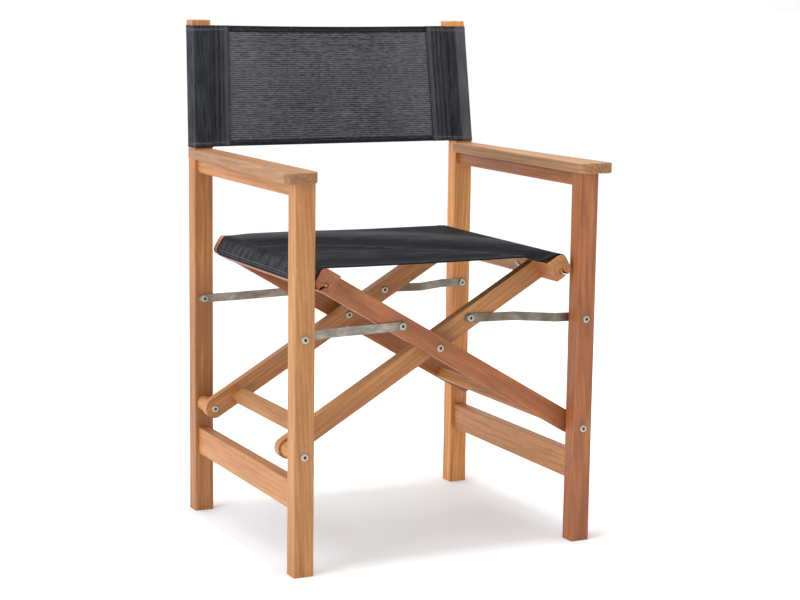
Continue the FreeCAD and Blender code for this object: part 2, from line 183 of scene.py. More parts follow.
# grain, tones and strength of the ring figure of each piece
WOOD_PIECES = {
    "left_front_leg": (UPRIGHT, GOLDEN, 0.7), "right_front_leg": (UPRIGHT, RUSSET, 0.8),
    "left_rear_leg": (UPRIGHT, AMBER, 1.0), "right_rear_leg": (UPRIGHT, HONEY, 0.8),
    "left_armrest": (LENGTHWISE, WEATHERED, 1.0), "right_armrest": (LENGTHWISE, WEATHERED, 1.0),
    "left_upper_rail": (LENGTHWISE, AMBER, 0.7), "right_upper_rail": (LENGTHWISE, RUSSET, 0.7),
    "left_bottom_rail": (LENGTHWISE, AMBER, 0.4), "right_bottom_rail": (LENGTHWISE, AMBER, 0.4),
    "inner_front_bar": (RISE_RIGHT, GOLDEN, 0.8), "inner_rear_bar": (RISE_RIGHT, AMBER, 0.8),
    "outer_front_bar": (RISE_LEFT, RUSSET, 0.8), "outer_rear_bar": (RISE_LEFT, RUSSET, 0.8),
    "inner_crossbar": (LENGTHWISE, GOLDEN, 0.8), "outer_crossbar": (LENGTHWISE, AMBER, 0.8),
    "left_seat_rail": (LENGTHWISE, RUSSET, 0.8), "right_seat_rail": (LENGTHWISE, AMBER, 0.8),
    "left_pivot_spacers": (LENGTHWISE, GOLDEN, 0.5), "right_pivot_spacers": (LENGTHWISE, AMBER, 0.5),
    "left_hem_rod": (LENGTHWISE, GOLDEN, 0.3), "right_hem_rod": (LENGTHWISE, AMBER, 0.3),
}
# painted shade, darker and redder, over part of a leg: height where it starts, is full and ends, and its
# share
LEG_SHADE_BAND = {"left_rear_leg": (0.16, 0.21, 0.42, 0.62)}
LEG_SHADE_FADE = 0.10         # height over which it dies away
LEG_SHADE_WANDER = 0.10       # how far its edges wander

# ---- fasteners
SOCKET_REACH = 0.0031         # half the width of the sockets across their corners, and a little
TURNED_PIECES = ["left_strap_bolts", "right_strap_bolts", "left_pivot_bolts", "right_pivot_bolts",
                 "centre_bolts", "centre_spacers", "left_strap_studs", "right_strap_studs",
                 "inner_strap_nuts", "outer_strap_nuts", "left_rail_screws", "right_rail_screws"]

# ---- camera: place in metres, angles in degrees, lens in millimetres
CAMERA_PLACE = (-1.48683, -3.02167, 0.94901)
CAMERA_YAW = 26.666
CAMERA_DOWN = 9.197
CAMERA_ROLL = 0.778
CAMERA_LENS = 86.97
CAMERA_FILM = 36.0

# ---- light of the room
ROOM_BRIGHT_SIDE = (-0.62, 0.78, 0.0)
ROOM_LIGHT = (0.48, 1.04)     # on the dim side and on the bright side
OVERHEAD_LIGHT = 0.70         # added straight above
FLOOR_HALF = 80.0             # half the side of the floor
# place, point it is turned to, size (m), power (W), colour
SOFT_BOXES = {
    "left_box": ((-3.2, -0.6, 1.6), (0, 0, 0.5), (2.4, 2.4), 56, (0.88, 1.02, 1.18)),
    "top_box": ((0.0, -0.1, 3.2), (0, 0, 0.4), (0.6, 0.6), 54, (1.0, 1.0, 1.0)),
}


def smooth(edge0, edge1, value):
    """Smooth step from 0 to 1 between two edges, for arrays too."""
    t = np.clip((value - edge0) / (edge1 - edge0), 0.0, 1.0)
    return t * t * (3.0 - 2.0 * t)


def scaled(colour, factor):
    """A colour made darker or lighter."""
    return tuple(factor * c for c in colour)


def nearest(values, wanted):
    """Place in an array of the value closest to the wanted one."""
    return int(np.argmin(np.abs(values - wanted)))


# ------------------------------------------------------------------ materials
MIX_SHARE, MIX_FIRST, MIX_SECOND = 0, 6, 7     # sockets of a mix node that work on colours
MIX_RESULT = 2


class Shader:
    """A material with short calls for the nodes used here."""

    def __init__(self, name):
        self.material = bpy.data.materials.new(name)
        self.material.use_nodes = True
        self.tree = self.material.node_tree
        self.surface = self.tree.nodes["Principled BSDF"]

    def link(self, source, target):
        """Join an output to an input."""
        self.tree.links.new(source, target)

    def node(self, kind, **settings):
        """A new node with its settings."""
        made = self.tree.nodes.new(kind)
        for key, value in settings.items():
            setattr(made, key, value)
        return made

    def mapped(self, source, socket, value):
        """Coordinates moved, turned or scaled, as the name of the socket says."""
        mapping = self.node("ShaderNodeMapping")
        mapping.inputs[socket].default_value = value
        self.link(source, mapping.inputs["Vector"])
        return mapping.outputs["Vector"]

    def coordinates(self, move=(0, 0, 0), turn=(0, 0, 0)):
        """Object coordinates, moved and then turned."""
        source = self.node("ShaderNodeTexCoord").outputs["Object"]
        return self.mapped(self.mapped(source, "Location", move), "Rotation", turn)

    def stretch(self, source, scale):
        """Coordinates scaled along each axis."""
        return self.mapped(source, "Scale", scale)

    def noise(self, source, scale, detail, rough, warp=0.0):
        """Cloudy noise from 0 to 1."""
        made = self.node("ShaderNodeTexNoise")
        self.link(source, made.inputs["Vector"])
        made.inputs["Scale"].default_value = scale
        made.inputs["Detail"].default_value = detail
        made.inputs["Roughness"].default_value = rough
        made.inputs["Distortion"].default_value = warp
        return made.outputs["Fac"]

    def wave(self, source, scale, warp, details=(2.0, 1.0, 0.5), **form):
        """Bands or rings; `form` says which and along which axis."""
        made = self.node("ShaderNodeTexWave", **form)
        self.link(source, made.inputs["Vector"])
        made.inputs["Scale"].default_value = scale
        made.inputs["Distortion"].default_value = warp
        for socket, value in zip(("Detail", "Detail Scale", "Detail Roughness"), details):
            made.inputs[socket].default_value = value
        return made.outputs["Fac"]

    def ramp(self, source, *stops):
        """Colour or grey ramp: stops are (place, value) with a value or an RGB."""
        made = self.node("ShaderNodeValToRGB")
        elements = made.color_ramp.elements
        while len(elements) < len(stops):
            elements.new(0.5)
        for element, (place, value) in zip(elements, stops):
            colour = value if hasattr(value, "__len__") else (value, value, value)
            element.position = place
            element.color = (*colour, 1.0)
        self.link(source, made.inputs["Fac"])
        return made.outputs["Color"]

    def mix(self, share, first, second):
        """One colour turning into another; a colour is an RGB or the output of a node."""
        made = self.node("ShaderNodeMix", data_type="RGBA")
        self.link(share, made.inputs[MIX_SHARE])
        for value, socket in ((first, MIX_FIRST), (second, MIX_SECOND)):
            if isinstance(value, bpy.types.NodeSocket):
                self.link(value, made.inputs[socket])
            else:
                made.inputs[socket].default_value = (*value, 1.0)
        return made.outputs[MIX_RESULT]

    def maths(self, operation, first, second):
        """Arithmetic on numbers or the outputs of nodes."""
        made = self.node("ShaderNodeMath", operation=operation)
        for place, value in enumerate((first, second)):
            if isinstance(value, bpy.types.NodeSocket):
                self.link(value, made.inputs[place])
            else:
                made.inputs[place].default_value = value
        return made.outputs[0]

    def bump(self, height, distance, strength, after=None):
        """Fine relief, on top of another when `after` is given."""
        made = self.node("ShaderNodeBump")
        made.inputs["Distance"].default_value = distance
        made.inputs["Strength"].default_value = strength
        self.link(height, made.inputs["Height"])
        if after is not None:
            self.link(after, made.inputs["Normal"])
        return made.outputs["Normal"]

    def put(self, socket, value):
        """Link or set an input of the surface."""
        if isinstance(value, bpy.types.NodeSocket):
            self.link(value, self.surface.inputs[socket])
        else:
            self.surface.inputs[socket].default_value = value


def wood(name, node, grain, light, dark, seed, figure):
    """Sanded teak.  `grain` turns the piece so that its length lies along local X; the growth
    rings run round a line beside the piece, tilted a little so that they show as long arches.
    A node in the table of painted leg shade is darker and redder over a part of its height: painted
    shade."""
    shader = Shader(name)
    low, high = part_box(node)
    middle = (low + high) / 2
    pith = Vector((0.021 + 0.017 * math.sin(2.1 * seed), 0.030 * math.cos(1.7 * seed),
                   0.026 * math.sin(3.3 * seed)))
    tilt = (0.0, 0.035 * math.sin(1.3 * seed), 0.045 * math.cos(2.9 * seed))
    turn = tuple(a + b for a, b in zip(grain, tilt))
    place = shader.coordinates(move=tuple(pith - middle), turn=turn)
    tone = shader.noise(shader.stretch(place, (2.4, 24, 24)), 1.0, 3.0, 0.55, 0.4)
    rings = shader.wave(shader.stretch(place, (0.16, 1.0, 1.0)), 42.0, 4.5, (2.5, 0.8, 0.6),
                        wave_type="RINGS", rings_direction="X")
    streaks = shader.noise(shader.stretch(place, (5.5, 170, 170)), 1.0, 4.0, 0.62, 0.3)
    pale = shader.noise(shader.stretch(place, (4.0, 110, 110)), 1.0, 3.0, 0.55, 0.2)
    pores = shader.noise(shader.stretch(place, (45, 1100, 1100)), 1.0, 2.0, 0.6)
    base = shader.mix(shader.ramp(tone, (0.30, 0.0), (0.70, 1.0)), light, dark)
    # painted shade: darker, redder colour over a band of the leg's height
    if node in LEG_SHADE_BAND:
        start, full, end, share = LEG_SHADE_BAND[node]
        split = shader.node("ShaderNodeSeparateXYZ")
        shader.link(shader.coordinates(), split.inputs["Vector"])
        wander = shader.maths("MULTIPLY", tone, LEG_SHADE_WANDER)
        height = shader.maths("ADD", split.outputs["Z"], wander)
        band = shader.ramp(height, (start, 0.15 * share), (full, share), (end, share),
                           (end + LEG_SHADE_FADE, 0.0))
        base = shader.mix(band, base, scaled(dark, 0.62))
    late = tuple(0.66 * a + 0.10 * b for a, b in zip(dark, light))
    arches = shader.ramp(rings, (0.20, 0.0), (0.80, 0.45 * figure), (1.0, 0.70 * figure))
    base = shader.mix(arches, base, late)
    bright = tuple(min(0.9, 1.22 * c) for c in light)
    base = shader.mix(shader.ramp(pale, (0.52, 0.0), (0.74, 0.55)), base, bright)
    base = shader.mix(shader.ramp(streaks, (0.46, 0.0), (0.72, 0.60)), base, scaled(dark, 0.62))
    base = shader.mix(shader.ramp(pores, (0.56, 0.0), (0.72, 0.50)), base, scaled(dark, 0.42))
    shader.put("Base Color", base)
    shader.put("Roughness", shader.ramp(streaks, (0.3, 0.46), (0.75, 0.62)))
    shader.put("Specular IOR Level", 0.55)
    shader.put("Normal", shader.bump(streaks, 0.0003, 0.4, shader.bump(pores, 0.00015, 0.4)))
    return shader.material


def steel(name, tone, stain):
    """Dull steel with brown stains and fine rolling marks."""
    shader = Shader(name)
    place = shader.coordinates()
    brush = shader.noise(shader.stretch(place, (30, 2600, 2600)), 1.0, 2.0, 0.6)
    cloud = shader.noise(shader.stretch(place, (38, 60, 90)), 1.0, 4.0, 0.65, 0.5)
    patch = shader.noise(shader.stretch(place, (16, 16, 16)), 1.0, 2.0, 0.5)
    colour = shader.mix(shader.ramp(cloud, (0.36, 0.0), (0.64, 1.0)), tone, scaled(tone, 0.52))
    shader.put("Base Color", shader.mix(shader.ramp(patch, (0.46, 0.0), (0.66, 0.75)), colour, stain))
    shader.put("Metallic", 1.0)
    shader.put("Roughness", shader.ramp(brush, (0.3, 0.30), (0.75, 0.48)))
    shader.put("Normal", shader.bump(brush, 0.00006, 0.4))
    return shader.material


def plain_metal(name, tone, rough):
    """Turned metal with fine scratches."""
    shader = Shader(name)
    scratch = shader.noise(shader.coordinates(), 1800.0, 2.0, 0.6)
    wear_and_sheen = shader.ramp(scratch, (0.4, 0.0), (0.7, 1.0))
    shader.put("Base Color", shader.mix(wear_and_sheen, tone, scaled(tone, 0.7)))
    shader.put("Metallic", 1.0)
    shader.put("Roughness", shader.ramp(scratch, (0.3, rough), (0.8, rough + 0.15)))
    shader.put("Normal", shader.bump(scratch, 0.00004, 0.3))
    return shader.material


def weave_pattern(shader, place, directions, pitch):
    """Two crossing sets of threads, 1 on a crossing and 0 in a gap."""
    warp, weft = (shader.wave(place, WAVE_UNIT / pitch, 0.3, bands_direction=direction)
                  for direction in directions)
    return shader.maths("MULTIPLY", warp, weft)


def woven_cloth(name, colour, wear_and_sheen):
    """Tight coated weave; the attribute "tone" carries painted sheen and painted shade along the folds
    and over the rail puckers.
    """
    shader = Shader(name)
    place = shader.coordinates()
    weave = weave_pattern(shader, place, "XY", SEAT_WEAVE)
    painted = shader.node("ShaderNodeAttribute", attribute_name="tone").outputs["Fac"]
    cloud = shader.noise(shader.stretch(place, (14, 26, 26)), 1.0, 4.0, 0.6, 0.6)
    slub = shader.noise(shader.stretch(place, (13, 330, 330)), 1.0, 3.0, 0.6, 0.2)
    # share: painted sheen and shade from the tone attribute, plus random clouds and slubs
    share = shader.maths("ADD", painted, shader.ramp(cloud, (0.35, 0.0), (0.75, 0.35)))
    share = shader.maths("ADD", share, shader.ramp(slub, (0.42, 0.0), (0.72, 0.40)))
    share = shader.maths("SUBTRACT", share, 0.30)
    base = shader.mix(shader.ramp(share, (0.0, 0.0), (1.0, 1.0)), colour, wear_and_sheen)
    base = shader.mix(shader.ramp(weave, (0.0, 0.30), (0.6, 0.0)), base, scaled(colour, 0.4))
    shader.put("Base Color", base)
    shader.put("Roughness", shader.ramp(cloud, (0.3, 0.72), (0.8, 0.86)))
    shader.put("Specular IOR Level", 0.05)
    shader.put("Normal", shader.bump(slub, 0.0004, 0.4, shader.bump(weave, 0.00022, 0.5)))
    return shader.material


def mesh_cloth(name, colour, pale, dash, contrast, ribs):
    """Coated open mesh whose yarns catch the light in short dashes; `dash` is their density along
    X, Y and Z, `ribs` the strength of the level yarns, and the attribute "tone" carries dark hems,
    paler strips and the painted highlights of the sleeves."""
    shader = Shader(name)
    place = shader.coordinates()
    painted = shader.node("ShaderNodeAttribute", attribute_name="tone").outputs["Fac"]
    dashes = shader.noise(shader.stretch(place, dash), 1.0, 2.0, 0.6, 0.15)
    fine = shader.noise(shader.stretch(place, (700, 700, 700)), 1.0, 1.0, 0.5)
    cloud = shader.noise(place, 13.0, 3.0, 0.55)
    weave = weave_pattern(shader, place, "XZ", MESH_WEAVE)
    yarns = shader.wave(shader.stretch(place, (0.10, 1.0, 1.0)), WAVE_UNIT / YARN_PITCH, 2.2,
                        (3.0, 1.6, 0.5), bands_direction="Z")
    share = shader.ramp(dashes, (0.36, 0.0), (0.64, contrast))
    share = shader.maths("ADD", share, shader.ramp(yarns, (0.25, 0.0), (0.80, ribs)))
    share = shader.maths("MULTIPLY", share, shader.ramp(cloud, (0.30, 0.86), (0.70, 1.08)))
    share = shader.maths("ADD", share, painted)
    share = shader.maths("ADD", share, shader.ramp(fine, (0.45, 0.0), (0.75, 0.15)))
    base = shader.mix(shader.ramp(share, (0.0, 0.0), (1.0, 1.0)), colour, pale)
    base = shader.mix(shader.ramp(weave, (0.0, 0.30), (0.6, 0.0)), base, scaled(colour, 0.35))
    shader.put("Base Color", base)
    shader.put("Roughness", shader.ramp(fine, (0.3, 0.60), (0.7, 0.76)))
    shader.put("Specular IOR Level", 0.12)
    shader.put("Normal", shader.bump(dashes, 0.0004, 0.5, shader.bump(weave, 0.0002, 0.5)))
    return shader.material


def thread(name, colour):
    """Twisted sewing thread."""
    shader = Shader(name)
    twist = shader.noise(shader.coordinates(), 2400.0, 1.0, 0.5)
    lit = shader.ramp(twist, (0.35, 0.0), (0.7, 1.0))
    shader.put("Base Color", shader.mix(lit, colour, scaled(colour, 1.5)))
    shader.put("Roughness", 0.6)
    return shader.material


# ------------------------------------------------------------------ mesh helpers
def add_object(name, data):
    """An object for a mesh, light or camera, in the scene."""
    made = bpy.data.objects.new(name, data)
    bpy.context.scene.collection.objects.link(made)
    return made


def smooth_mesh(name, vertices, faces, material):
    """A smooth-shaded mesh of one material."""
    mesh = bpy.data.meshes.new(name)
    mesh.from_pydata(vertices, [], faces)
    mesh.polygons.foreach_set("use_smooth", [True] * len(faces))
    mesh.materials.append(material)
    return mesh


def lengths_along(points):
    """Distance of each point from the first, along the line through them."""
    return np.concatenate([[0.0], np.cumsum(np.linalg.norm(np.diff(points, axis=0), axis=1))])


def at(distance, runs, values):
    """A point or normal of a line, at a distance along it."""
    return np.array([np.interp(distance, runs, values[:, axis]) for axis in range(3)])


def stitches(name, lines, material):
    """Short raised stitches along lines; a line is a list of (point, normal)."""
    sides, rings = 6, 5
    vertices, faces = [], []
    for line in lines:
        places = np.array([place for place, normal in line], float)
        normals = np.array([normal for place, normal in line], float)
        runs = lengths_along(places)
        for k in range(int(runs[-1] / STITCH_PITCH)):
            start = len(vertices)
            for i in range(rings):
                u = i / (rings - 1)
                where = (k + 0.5) * STITCH_PITCH + (u - 0.5) * STITCH_LONG
                centre = at(where, runs, places)
                normal = at(where, runs, normals)
                ahead = at(where + 0.001, runs, places) - at(where - 0.001, runs, places)
                ahead /= np.linalg.norm(ahead)
                normal /= np.linalg.norm(normal)
                across = np.cross(ahead, normal)
                radius = STITCH_WIDE / 2 * math.sin(math.pi * (0.06 + 0.88 * u))
                lift = STITCH_LIFT * math.sin(math.pi * u)
                for j in range(sides):
                    turn = 2 * math.pi * j / sides
                    vertices.append(tuple(centre + normal * (lift + radius * math.sin(turn))
                                          + across * radius * math.cos(turn)))
            for i in range(rings - 1):
                near, far = start + i * sides, start + (i + 1) * sides
                for j in range(sides):
                    after = (j + 1) % sides
                    faces.append((near + j, near + after, far + after, far + j))
            faces.append(tuple(start + j for j in reversed(range(sides))))
            faces.append(tuple(start + (rings - 1) * sides + j for j in range(sides)))
    return add_object(name, smooth_mesh(name, vertices, faces, material))


def edge_rows(length, near, count):
    """Distances from 0 to a length: three close to each edge and even ones between."""
    first, second, third = near
    return np.concatenate([[0.0, first, second], np.linspace(third, length - third, count),
                           [length - second, length - first, length]])


def thick_sheet(name, points, material, thickness, tone):
    """A closed sheet round a grid of middle points; thickness and tone are one per point."""
    rows, columns = points.shape[:2]
    along_rows = np.gradient(points, axis=0)
    along_columns = np.gradient(points, axis=1)
    normals = np.cross(along_columns, along_rows)
    normals /= np.linalg.norm(normals, axis=2, keepdims=True)
    half = np.broadcast_to(thickness, (rows, columns))[..., None] / 2
    both = np.concatenate([(points + normals * half).reshape(-1, 3),
                           (points - normals * half).reshape(-1, 3)])
    index = np.arange(rows * columns).reshape(rows, columns)
    under = index + rows * columns
    top = np.stack([index[:-1, :-1], index[:-1, 1:], index[1:, 1:], index[1:, :-1]], axis=-1)
    low = np.stack([under[:-1, :-1], under[1:, :-1], under[1:, 1:], under[:-1, 1:]], axis=-1)
    rim = np.concatenate([index[0, :], index[1:, -1], index[-1, -2::-1], index[-2:0:-1, 0]])
    around = np.roll(rim, -1)
    sides = np.stack([rim, rim + rows * columns, around + rows * columns, around], axis=-1)
    faces = np.concatenate([top.reshape(-1, 4), low.reshape(-1, 4), sides])
    mesh = smooth_mesh(name, both.tolist(), faces.tolist(), material)
    painted = np.broadcast_to(tone, (rows, columns)).reshape(-1)
    painted = np.concatenate([painted, painted])
    mesh.attributes.new("tone", "FLOAT", "POINT").data.foreach_set("value", painted)
    return add_object(name, mesh), normals


# ------------------------------------------------------------------ seat sling
def rail_point(s, t):
    """X and Z of a point s along and t above the bar that rises to the right."""
    return (s * math.cos(BAR_ANGLE) - t * math.sin(BAR_ANGLE),
            CENTRE.z + s * math.sin(BAR_ANGLE) + t * math.cos(BAR_ANGLE))


def seat_section():
    """X and Z of the sling from the slot of the left rail, over both rails, to the right slot; 1 for
    each point that spans freely and 0 for the others; and the X where the sling leaves the rail."""
    radius = RAIL_ROUND + SLING_GAP
    corner_s = RAIL_TOP_S - RAIL_ROUND
    low_t = RAIL_T[0] + RAIL_ROUND
    top_t = RAIL_T[1] - RAIL_ROUND
    wrap = [(HEM_MOUTH[0] + s, HEM_MOUTH[1] + t) for s, t in IN_SLOT]
    for angle in np.linspace(WRAP_START, 0, 9):
        wrap.append((corner_s + radius * math.cos(math.radians(angle)),
                     low_t + radius * math.sin(math.radians(angle))))
    for t in np.linspace(low_t, top_t, 8)[1:]:
        wrap.append((corner_s + radius, t))
    for angle in np.linspace(0, 90 - math.degrees(BAR_ANGLE), 9)[1:]:
        wrap.append((corner_s + radius * math.cos(math.radians(angle)),
                     top_t + radius * math.sin(math.radians(angle))))
    right = [rail_point(s, t) for s, t in wrap]
    left = [(-x, z) for x, z in right]
    edge_x, edge_z = right[-1]
    span = [(x, edge_z) for x in np.linspace(-edge_x, edge_x, SEAT_COLUMNS + 2)[1:-1]]
    section = np.array(left + span + right[::-1])
    free = np.zeros(len(section))
    free[len(left):len(left) + SEAT_COLUMNS] = 1.0
    return section, free, edge_x


def seat_folds(x, run, edge_x, weight):
    """Sum of the folds over the span, each with the given column of the table as its size;
    run is the distance from the front edge."""
    across = (x + edge_x) / (2 * edge_x)
    total = np.zeros_like(x)
    for fold in SEAT_FOLDS:
        start, end, half_width = fold[:3]
        middle = start + (end - start) * across ** 2
        total += fold[weight] * np.exp(-((run - middle) / half_width) ** 2)
    return total


def seat_lift(x, run, edge_x):
    """Height of the free span: folds, slack, and the front hem curling down by the right rail."""
    depth = SEAT_HIGH.y - SEAT_LOW.y
    droop = SEAT_DROOP * (1 - (x / edge_x) ** 2) * (1 - smooth(0.0, 0.75 * depth, run))
    deep, curl_x, half_width, back = SEAT_CURL
    curl = deep * np.exp(-((x - curl_x) / half_width) ** 2) * (1 - smooth(0.0, back, run))
    held = smooth(0.0, 0.05, edge_x - np.abs(x))
    curl = curl * smooth(0.0, 0.02, edge_x - np.abs(x))
    return seat_folds(x, run, edge_x, FOLD_HEIGHT) * held - droop - curl


def seat_sling(material):
    """The seat cloth; also its middle points, normals and the X where it leaves the right rail."""
    section, free, edge_x = seat_section()
    depth = SEAT_HIGH.y - SEAT_LOW.y
    run = edge_rows(depth, (0.0015, 0.004, 0.007), SEAT_ROWS)
    rows, columns = len(run), len(section)
    x = np.broadcast_to(section[:, 0], (rows, columns))
    z = np.broadcast_to(section[:, 1], (rows, columns))
    y = np.broadcast_to((SEAT_LOW.y + run)[:, None], (rows, columns))
    distance = np.broadcast_to(run[:, None], (rows, columns))
    span = free[None, :] > 0.5
    z = z + np.where(span, seat_lift(x, distance, edge_x), 0.0)
    # the cloth over the rails is puckered between the corner and the stitching
    pucker = np.full_like(z, 0.5)
    for wave, sway, slope, size in SEAT_PUCKERS:
        pucker += size * np.sin(2 * math.pi * distance / wave + 3.0 * np.sin(distance * sway) + slope * z)
    low, full, fading, high = PUCKERED
    pulled = np.where(span, 0.0, smooth(low, full, z) * (1 - smooth(fading, high, z)))
    x = x + np.sign(x) * PUCKER_DEEP * (pucker - 0.35) * pulled
    points = np.stack([x, y, z], axis=-1)
    edge = np.minimum(distance, depth - distance)
    hem = 1 - smooth(*SEAT_HEM, edge)
    groove = np.exp(-((edge - SEAT_STITCH) / 0.0012) ** 2)
    thickness = CLOTH * (1.0 + 0.55 * hem - 0.35 * groove)
    # painted sheen on the raised folds and painted shade in the hollows; over the rails the pucker crests
    # are painted paler, a painted highlight
    wear_and_sheen = 0.10 + 1.25 * seat_folds(x, distance, edge_x, FOLD_PAINTED_LIGHT)
    tone = np.where(span, wear_and_sheen, 0.18 + 0.50 * pucker * pulled)
    tone = tone + 0.15 * groove - 0.25 * (edge < 0.002)
    made, normals = thick_sheet("seat_sling_cloth", points, material, thickness, tone)
    return made, points, normals, edge_x


def seat_stitch_lines(points, normals):
    """Stitch lines along the front and rear hems and along each rail pocket."""
    lines = []
    rows, columns = points.shape[:2]
    run = points[:, 0, 1] - SEAT_LOW.y
    for place in (SEAT_STITCH, SEAT_HIGH.y - SEAT_LOW.y - SEAT_STITCH):
        row = nearest(run, place)
        lines.append([(points[row, j] + normals[row, j] * HEM_LINE_LIFT, normals[row, j])
                      for j in range(6, columns - 6)])
    near, far = POCKET_COLUMNS
    for column in (near, far, columns - 1 - near, columns - 1 - far):
        lines.append([(points[i, column] + normals[i, column] * LINE_LIFT, normals[i, column])
                      for i in range(3, rows - 3)])
    return lines


# ------------------------------------------------------------------ back sling
BACK_BOTTOM = SLEEVE_LOW.z
BACK_TOP = SLEEVE_HIGH.z
BACK_TALL = BACK_TOP - BACK_BOTTOM
LEAN_BACK = SLEEVE_HIGH.y - SLEEVE_LOW.y - (LEG_Y + 2 * CLOTH)
LEAN_IN = SLEEVE_HIGH.x - SLEEVE_LOW.x - (LEG_X + 2 * CLOTH)
POST_IN_X = SLEEVE_HIGH.x - CLOTH - LEG_X      # inner face of the post at the bottom of the sleeve
POST_OUT_X = SLEEVE_HIGH.x - CLOTH
POST_FRONT_Y = SLEEVE_LOW.y + CLOTH
POST_BACK_Y = POST_FRONT_Y + LEG_Y
PANEL_Y = PANEL_FRONT_Y + CLOTH / 2 + PANEL_BACK


def rounded_path(corners, radii, step):
    """Even points along a path whose inner corners are rounded, and its length."""
    path = [Vector(corners[0])]
    for before, corner, after, radius in zip(corners, corners[1:], corners[2:], radii):
        before, corner, after = Vector(before), Vector(corner), Vector(after)
        into = (corner - before).normalized()
        out = (after - corner).normalized()
        turn = into.angle(out)
        back = radius * math.tan(turn / 2)
        start, end = corner - into * back, corner + out * back
        for i in range(7):
            u = i / 6
            path.append((1 - u) ** 2 * start + 2 * u * (1 - u) * corner + u ** 2 * end)
    path.append(Vector(corners[-1]))
    points = np.array([tuple(p) for p in path])
    runs = lengths_along(points)
    even = np.linspace(0, runs[-1], int(runs[-1] / step) + 1)
    spread = np.stack([np.interp(even, runs, points[:, axis]) for axis in range(2)], axis=-1)
    return spread, float(even[-1])


def sleeve_section():
    """XY path of the right sleeve at its bottom: seam, front of the post, back of the post, seam.
    Its length comes with it."""
    off = CLOTH / 2
    front_y = PANEL_Y - off - TAIL_FRONT
    back_y = PANEL_Y + off + TAIL_BACK
    corners = [(SEAM_X, front_y), (POST_IN_X - off, front_y), (POST_IN_X - off, POST_FRONT_Y - off),
               (POST_OUT_X + off, POST_FRONT_Y - off), (POST_OUT_X + off, POST_BACK_Y + off),
               (POST_IN_X - off, POST_BACK_Y + off), (SEAM_X + TAIL_FLAT, back_y), (SEAM_X, back_y)]
    return rounded_path(corners, [0.007, 0.0026, 0.0026, 0.0026, 0.0026, 0.008], SLEEVE_STEP)


def back_sleeve(side, material):
    """Sleeve round one post with its tail to the seam; side is 1 for the right, -1 for the left.
    Its flat length round the post comes with it."""
    path, around = sleeve_section()
    path_x, path_y = path[:, 0], path[:, 1]
    front = (path_x < POST_IN_X - 0.003) & (path_y < PANEL_Y)      # front layer of the tail
    heights = edge_rows(BACK_TALL, (0.0012, 0.003, 0.005), SLEEVE_ROWS)
    share = heights[:, None] / BACK_TALL
    from_seam = path_x - SEAM_X
    crests = -np.sin(2 * math.pi * from_seam / PLEAT_PITCH + 0.6)
    pleats = -PLEAT_DEEP * (crests + 1) * front
    welt = front * np.exp(-((from_seam - WELT_FROM_SEAM) / 0.0035) ** 2)
    pull = 0.5 + 0.5 * np.sin(2 * math.pi * share * 1.3 + 0.4)
    x = side * (path_x - LEAN_IN * share)
    y = path_y + LEAN_BACK * share + pleats * (0.6 + 0.4 * pull) - WELT_HIGH * welt
    z = np.broadcast_to(heights[:, None] + BACK_BOTTOM, x.shape)
    points = np.stack([x, y, z], axis=-1)
    # paler cloth: painted highlights on the right front, on a thin line along the left corner, on the
    # pleat crests and on the welt; paler streaks outside
    outer = smooth(POST_OUT_X - 0.004, POST_OUT_X, path_x)
    streak = 0.5 + 0.5 * np.sin(2 * math.pi * (path_y / 0.011 + 1.2 * share))
    ribs = 0.85 + 0.15 * np.sin(heights * RIB_WAVE)[:, None]
    face = RIGHT_FRONT_HIGHLIGHT * (side > 0) * smooth(POST_IN_X + 0.012, POST_IN_X + 0.016, path_x) * ribs
    corner = LEFT_CORNER_HIGHLIGHT * (side < 0) * (path_y < POST_FRONT_Y)
    corner = corner * np.exp(-((path_x - POST_OUT_X) / 0.0022) ** 2)
    tone = face + corner + outer * (0.10 * streak) + 0.40 * np.clip(crests, 0, 1) * front + 0.35 * welt
    if side > 0:
        points = points[:, ::-1]
        tone = tone[:, ::-1]
    edge = np.minimum(heights, BACK_TALL - heights)[:, None]
    hem = 1 - smooth(*SLEEVE_HEM, edge)
    groove = np.exp(-((edge - SLEEVE_STITCH) / 0.0011) ** 2)
    thickness = CLOTH * (1.0 + 0.45 * hem - 0.3 * groove)
    tone = tone + 0.30 * np.exp(-((edge - 0.0065) / 0.0030) ** 2) - 0.25 * (edge < 0.0025)
    name = ("right" if side > 0 else "left") + "_back_sleeve_cloth"
    made, normals = thick_sheet(name, points, material, thickness, tone)
    return made, points, normals, around


